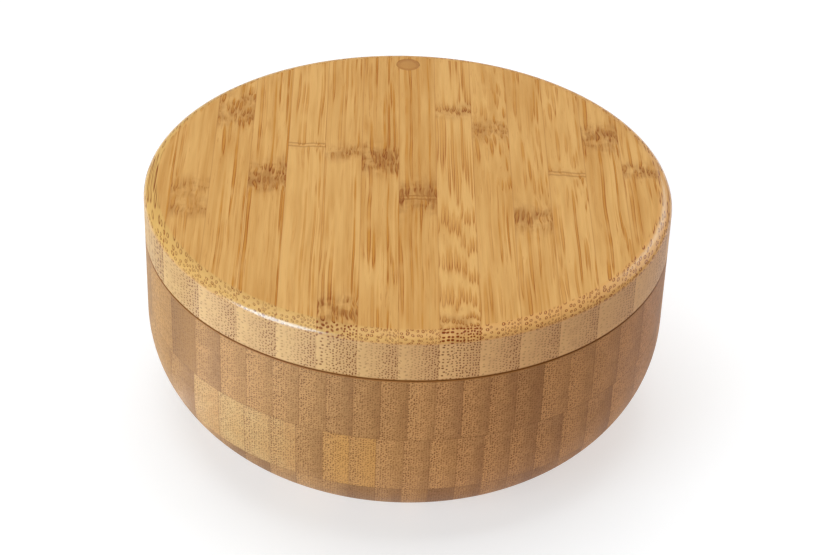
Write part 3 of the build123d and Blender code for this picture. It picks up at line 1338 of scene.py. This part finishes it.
class SALTBOX_OT_plug(bpy.types.Operator):
    """Turn the flush plug over the swivel"""

    bl_idname = "saltbox.plug"
    bl_label = "Swivel Plug"

    def execute(self, context):
        settings = context.scene.saltbox_lid
        low_break = settings.plug_break
        rounding = settings.plug_rounding
        outline = [(0.0, PLUG_LOW.z), (PLUG_RADIUS - low_break, PLUG_LOW.z)]
        outline.append((PLUG_RADIUS, PLUG_LOW.z + low_break))
        outline += arc(PLUG_RADIUS - rounding, PLUG_HIGH.z - rounding, rounding, 0, 90, 4)
        outline.append((0.0, PLUG_HIGH.z))
        piece = turned_piece("plug_bamboo", outline, PLUG_SEGMENTS, SWIVEL_Y)
        shade_by_angle(piece, PLUG_EDGE)
        finish_piece(piece, plug_material(settings), "lid", "swivel_plug")
        return {"FINISHED"}


class SALTBOX_OT_bowl_boards(bpy.types.Operator):
    """Turn the three glued boards of the bowl"""

    bl_idname = "saltbox.bowl_boards"
    bl_label = "Bowl Boards"

    def execute(self, context):
        settings = context.scene.saltbox_bowl
        well_radius = settings.well_radius

        # Where the foot's curve and the well's corner cross the joint over the base board
        curve = settings.foot_curve_radius
        curve_x = BOX_RADIUS - curve
        curve_z = math.sqrt(curve**2 - (settings.foot_radius - curve_x) ** 2)
        foot_angle = math.degrees(math.atan2(-curve_z, settings.foot_radius - curve_x))
        joint_angle = math.degrees(math.asin((BASE_JOINT - curve_z) / curve))
        corner = settings.well_corner_radius
        corner_x = well_radius - corner
        corner_z = settings.floor_height + corner
        inner_angle = math.degrees(math.asin((BASE_JOINT - corner_z) / corner))

        base = [(0.0, 0.0)]
        base += arc(curve_x, curve_z, curve, foot_angle, joint_angle, 14)
        base += arc(corner_x, corner_z, corner, inner_angle, -90, 12)
        base.append((0.0, settings.floor_height))
        middle = arc(curve_x, curve_z, curve, joint_angle, 0, 10)
        middle += [(BOX_RADIUS, TOP_JOINT), (well_radius, TOP_JOINT)]
        middle += arc(corner_x, corner_z, corner, 0, inner_angle, 12)
        rim_break = settings.rim_break
        mouth = settings.mouth_radius
        rim_top = RIM_TOP + settings.rim_lift
        top = [(BOX_RADIUS, TOP_JOINT)]
        top += arc(BOX_RADIUS - rim_break, rim_top - rim_break, rim_break, 0, 90, 4)
        top += arc(well_radius + mouth, rim_top - mouth, mouth, 90, 180, 8)
        top.append((well_radius, TOP_JOINT))
        boards = [
            ("base_board_bamboo", "bowl_base_board", base, 0.0, BASE_JOINT, BASE_LOOK),
            ("middle_board_bamboo", "bowl_middle_board", middle, BASE_JOINT, TOP_JOINT, MIDDLE_LOOK),
            ("top_board_bamboo", "bowl_top_board", top, TOP_JOINT, RIM_TOP, TOP_LOOK),
        ]
        for name, node, outline, bottom, ceiling, look in boards:
            piece = turned_piece(name, outline, BOWL_SEGMENTS)
            if node == "bowl_top_board":
                screw_hole = context.scene.saltbox_hardware.screw_hole_radius
                screw_hole_top = WASHER_LOW.z + CUT_OVERRUN
                drill(piece, WASHER_RADIUS, WASHER_LOW.z, RIM_TOP + CUT_OVERRUN, SWIVEL_Y)
                drill(piece, screw_hole, SCREW_LOW.z, screw_hole_top, SWIVEL_Y, SCREW_HOLE_SEGMENTS)
                drill(piece, MAGNET_RADIUS, RIM_MAGNET_LOW.z, RIM_TOP + CUT_OVERRUN, CATCH_Y)
            shade_by_angle(piece, BOWL_EDGE)
            bamboo = bowl_material(name, bottom, ceiling, look, settings)
            finish_piece(piece, bamboo, "bowl", node)
        return {"FINISHED"}


# Steel, nylon and nickel

SCREW_SEGMENTS = 72
THREAD_LEVELS = 156
RIDGE_HALF_WIDTH = 0.32
THREAD_POINT = 2.2 * MM
THREAD_POINT_TIP = 0.12
THREAD_RUN_OUT = 0.8 * MM
PLAIN_NECK = 0.4 * MM
SHOULDER_BREAK = 0.1 * MM
HEAD_BREAK = 0.15 * MM
HEAD_ROUNDING = 0.5 * MM
LOBE_COUNT = 6
LOBE_DEPTH = 0.14


def thread_row(settings, z):
    """One level of the thread: a ridge that winds up, fading out at the point and under the shoulder."""
    above_tip = z - SCREW_LOW.z
    pointed = min(1.0, THREAD_POINT_TIP + above_tip / THREAD_POINT)
    fade = min(1.0, max(0.0, (WASHER_LOW.z - PLAIN_NECK - z) / THREAD_RUN_OUT))
    core = settings.thread_radius - settings.thread_depth
    radii = []
    for step in range(SCREW_SEGMENTS):
        winds = (above_tip / settings.thread_pitch - step / SCREW_SEGMENTS) % 1.0
        ridge = max(0.0, 1.0 - abs(winds - 0.5) / RIDGE_HALF_WIDTH)
        radii.append((core + settings.thread_depth * ridge * fade) * pointed)
    return around_axis(radii, z)


def lobed_row(settings, z):
    """One level of the six-lobed recess."""
    turns = [math.tau * step / SCREW_SEGMENTS for step in range(SCREW_SEGMENTS)]
    waves = [1.0 - LOBE_DEPTH + LOBE_DEPTH * math.cos(LOBE_COUNT * turn) for turn in turns]
    return around_axis([settings.recess_radius * wave for wave in waves], z)


def screw_piece(name, settings):
    """The swivel screw: pointed thread, smooth shoulder, and a round head with a six-lobed recess."""
    thread_length = WASHER_LOW.z - SCREW_LOW.z
    levels = [SCREW_LOW.z + thread_length * level / THREAD_LEVELS for level in range(THREAD_LEVELS + 1)]
    rows = [thread_row(settings, z) for z in levels]
    shoulder = settings.shoulder_radius
    head = (SCREW_HIGH.x - SCREW_LOW.x) / 2
    head_low = SCREW_HIGH.z - settings.head_height
    steps = [(shoulder - SHOULDER_BREAK, WASHER_LOW.z), (shoulder, WASHER_LOW.z + SHOULDER_BREAK)]
    steps += [(shoulder, head_low), (head - HEAD_BREAK, head_low), (head, head_low + HEAD_BREAK)]
    steps += arc(head - HEAD_ROUNDING, SCREW_HIGH.z - HEAD_ROUNDING, HEAD_ROUNDING, 0, 90, 6)
    rows += [around_axis([radius] * SCREW_SEGMENTS, z) for radius, z in steps]
    rows += [lobed_row(settings, SCREW_HIGH.z), lobed_row(settings, SCREW_HIGH.z - settings.recess_depth)]
    mesh = bmesh.new()
    rings = [add_ring(mesh, row, SWIVEL_Y) for row in rows]
    for lower, upper in zip(rings, rings[1:]):
        add_band(mesh, lower, upper)
    for ring in (rings[0], rings[-1]):
        middle = sum((corner.co for corner in ring), Vector()) / len(ring)
        add_band(mesh, ring, [mesh.verts.new(middle)])
    bmesh.ops.recalc_face_normals(mesh, faces=mesh.faces)
    return object_from(mesh, name)


def washer_piece(name, settings):
    """The nylon washer, with rounded edges."""
    rounding = settings.washer_rounding
    inner = settings.shoulder_radius + settings.running_play + rounding
    outer = WASHER_RADIUS - rounding
    low = WASHER_LOW.z + rounding
    high = WASHER_HIGH.z - rounding
    outline = arc(inner, low, rounding, 180, 270, 3) + arc(outer, low, rounding, -90, 0, 3)
    outline += arc(outer, high, rounding, 0, 90, 3) + arc(inner, high, rounding, 90, 180, 3)
    return turned_piece(name, outline, DISC_SEGMENTS, SWIVEL_Y)


def magnet_piece(name, low, high, rounding):
    """A plated disc magnet with rounded edges."""
    outline = [(0.0, low.z)]
    outline += arc(MAGNET_RADIUS - rounding, low.z + rounding, rounding, -90, 0, 5)
    outline += arc(MAGNET_RADIUS - rounding, high.z - rounding, rounding, 0, 90, 5)
    outline.append((0.0, high.z))
    return turned_piece(name, outline, DISC_SEGMENTS, CATCH_Y)


class SALTBOX_OT_hardware(bpy.types.Operator):
    """Make the swivel screw, its washer and the two magnets of the catch"""

    bl_idname = "saltbox.hardware"
    bl_label = "Swivel and Catch"

    def execute(self, context):
        settings = context.scene.saltbox_hardware
        rounding = settings.magnet_rounding
        steel = metal_material("Turned steel", settings.steel, 0.28)
        nickel = metal_material("Nickel plate", settings.nickel, 0.36)
        nylon = nylon_material(settings)
        screw = screw_piece("screw_steel", settings)
        washer = washer_piece("washer_nylon", settings)
        rim_magnet = magnet_piece("rim_magnet_nickel", RIM_MAGNET_LOW, RIM_MAGNET_HIGH, rounding)
        lid_magnet = magnet_piece("lid_magnet_nickel", LID_MAGNET_LOW, LID_MAGNET_HIGH, rounding)
        pieces = [
            (screw, steel, "bowl", "steel", "swivel_screw"),
            (washer, nylon, "bowl", "nylon", "swivel_washer"),
            (rim_magnet, nickel, "bowl", "magnet", "rim_magnet"),
            (lid_magnet, nickel, "lid", "magnet", "lid_magnet"),
        ]
        for piece, material, body, slot, node in pieces:
            shade_by_angle(piece, HARDWARE_EDGE)
            finish_piece(piece, material, body, node)
        return {"FINISHED"}


# Floor, lights, room and camera

CAMERA_LENS = 101.65
CAMERA_SENSOR = 36.0
CAMERA_NEAR = 0.01
CAMERA_FAR = 20.0
CAMERA_PLACE = (-0.009588, -0.477649, 0.364844)
CAMERA_TURN = (55.122, -1.7104, -0.2862)
CARD_PLACE = (-0.22, -0.19, 0.003)
CARD_SIZE = (0.32, 0.34)
BACK_GLINT_SHARE = 0.155
EDGE_GLINT_SHARE = 0.06
FLOOR_REACH = 4.0
FLOOR_ROUGHNESS = 0.7
FLOOR_DROP = 0.05 * MM
WHITE = (1.0, 1.0, 1.0)
COOL_WHITE = (0.66, 1.03, 1.10)


def area_light(name, power, size, place, turn, use, colour):
    """An area light for soft light or for shine, so that each can be set without the other."""
    light = bpy.data.lights.new(name, "AREA")
    light.shape = "ELLIPSE" if use == "round shine" else "RECTANGLE"
    light.size, light.size_y = size
    light.energy = power
    light.color = colour
    lamp = new_object(name, light)
    lamp.location = place
    lamp.rotation_euler = turn
    lamp.visible_camera = False
    lamp.visible_glossy = use != "soft"
    lamp.visible_diffuse = use == "soft"


class SALTBOX_OT_stage(bpy.types.Operator):
    """Set up the floor, the lights and the camera"""

    bl_idname = "saltbox.stage"
    bl_label = "Stage"

    def execute(self, context):
        settings = context.scene.saltbox_stage
        scene = context.scene
        scene.view_settings.view_transform = "Standard"
        self.lay_floor(settings)
        self.light_room(scene, settings)
        self.set_lights(settings)
        camera_data = bpy.data.cameras.new("camera")
        camera_data.lens = CAMERA_LENS
        camera_data.sensor_width = CAMERA_SENSOR
        camera_data.clip_start = CAMERA_NEAR
        camera_data.clip_end = CAMERA_FAR
        camera = new_object("camera", camera_data)
        camera.location = CAMERA_PLACE
        camera.rotation_euler = Euler([math.radians(turn) for turn in CAMERA_TURN], "XYZ")
        scene.camera = camera
        return {"FINISHED"}

    def lay_floor(self, settings):
        """A pale floor just under the box."""
        mesh = bmesh.new()
        bmesh.ops.create_grid(mesh, x_segments=8, y_segments=8, size=FLOOR_REACH)
        bmesh.ops.translate(mesh, verts=mesh.verts, vec=(0.0, 0.0, -FLOOR_DROP))
        floor = object_from(mesh, "floor")
        material, _, shader = new_material("Pale floor")
        feed(shader.inputs["Base Color"], settings.floor_colour)
        feed(shader.inputs["Roughness"], FLOOR_ROUGHNESS)
        feed(shader.inputs["Emission Color"], WHITE)
        feed(shader.inputs["Emission Strength"], settings.floor_glow)
        floor.data.materials.append(material)

    def light_room(self, scene, settings):
        """Even light from all around. Past the floor the camera sees the backdrop instead."""
        world = bpy.data.worlds.new("Room")
        world.use_nodes = True
        background = world.node_tree.nodes["Background"]
        glow = [part * settings.room_light for part in settings.room_colour]
        seen = add_node(world.node_tree, "ShaderNodeLightPath")["Is Camera Ray"]
        feed(background.inputs["Color"], mix(seen, glow, settings.backdrop))
        feed(background.inputs["Strength"], 1.0)
        scene.world = world

    def set_lights(self, settings):
        """Lights that look at the box, each from its own azimuth and elevation, and the card on the floor."""
        key = settings.key_power
        side = settings.side_power
        glint = settings.glint_power
        lights = [
            ("key_light", key, -52.0, 16.0, 0.9, (0.5, 0.36), "soft", (0.92, 1.01, 1.07)),
            ("key_glint", glint, -52.0, 19.0, 0.85, (0.50, 0.70), "round shine", (0.52, 0.90, 1.28)),
            ("top_light", settings.top_power, 200.0, 78.0, 1.3, (1.1, 1.1), "soft", WHITE),
            ("back_light", side, 128.0, 34.0, 1.1, (0.8, 0.45), "soft", (1.10, 0.90, 0.80)),
            ("back_glint", BACK_GLINT_SHARE * glint, 128.0, 32.0, 1.0, (0.65, 0.5), "shine", WHITE),
            ("edge_glint", EDGE_GLINT_SHARE * glint, 147.0, 33.0, 0.95, (0.22, 0.36), "shine", COOL_WHITE),
        ]
        middle = (BOX_LOW + BOX_HIGH) / 2
        for name, power, azimuth, elevation, distance, size, use, colour in lights:
            around = math.radians(azimuth)
            above = math.radians(elevation)
            flat = math.cos(above)
            away = Vector((math.sin(around) * flat, -math.cos(around) * flat, math.sin(above)))
            turn = (-away).to_track_quat("-Z", "Y").to_euler()
            area_light(name, power, size, middle + away * distance, turn, use, colour)
        upwards = Euler((math.pi, 0.0, 0.0))
        area_light("floor_card", settings.card_power, CARD_SIZE, CARD_PLACE, upwards, "shine", WHITE)


class SALTBOX_PT_panel(bpy.types.Panel):
    """Salt box pieces and settings in the sidebar"""

    bl_idname = "SALTBOX_PT_panel"
    bl_label = "Bamboo Salt Box"
    bl_space_type = "VIEW_3D"
    bl_region_type = "UI"
    bl_category = "Salt Box"

    def draw(self, context):
        for operator in OPERATORS:
            self.layout.operator(operator.bl_idname)
        for key in SETTINGS:
            group = getattr(context.scene, key)
            box = self.layout.box()
            for name in group.bl_rna.properties.keys():
                if name not in ("rna_type", "name"):
                    box.prop(group, name)


OPERATORS = [
    SALTBOX_OT_stage,
    SALTBOX_OT_bowl_boards,
    SALTBOX_OT_lid_strips,
    SALTBOX_OT_plug,
    SALTBOX_OT_hardware,
]
SETTINGS = {
    "saltbox_lid": SaltBoxLidSettings,
    "saltbox_bowl": SaltBoxBowlSettings,
    "saltbox_hardware": SaltBoxHardwareSettings,
    "saltbox_stage": SaltBoxStageSettings,
}
CLASSES = [*SETTINGS.values(), *OPERATORS, SALTBOX_PT_panel]


def register():
    for each in CLASSES:
        bpy.utils.register_class(each)
    for key, group in SETTINGS.items():
        setattr(bpy.types.Scene, key, bpy.props.PointerProperty(type=group))


def unregister():
    for key in SETTINGS:
        delattr(bpy.types.Scene, key)
    for each in reversed(CLASSES):
        bpy.utils.unregister_class(each)


def main():
    """Makes every piece in order."""
    register()
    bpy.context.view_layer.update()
    bpy.ops.saltbox.stage()
    bpy.ops.saltbox.bowl_boards()
    bpy.ops.saltbox.lid_strips()
    bpy.ops.saltbox.plug()
    bpy.ops.saltbox.hardware()


if __name__ == "__main__":
    main()
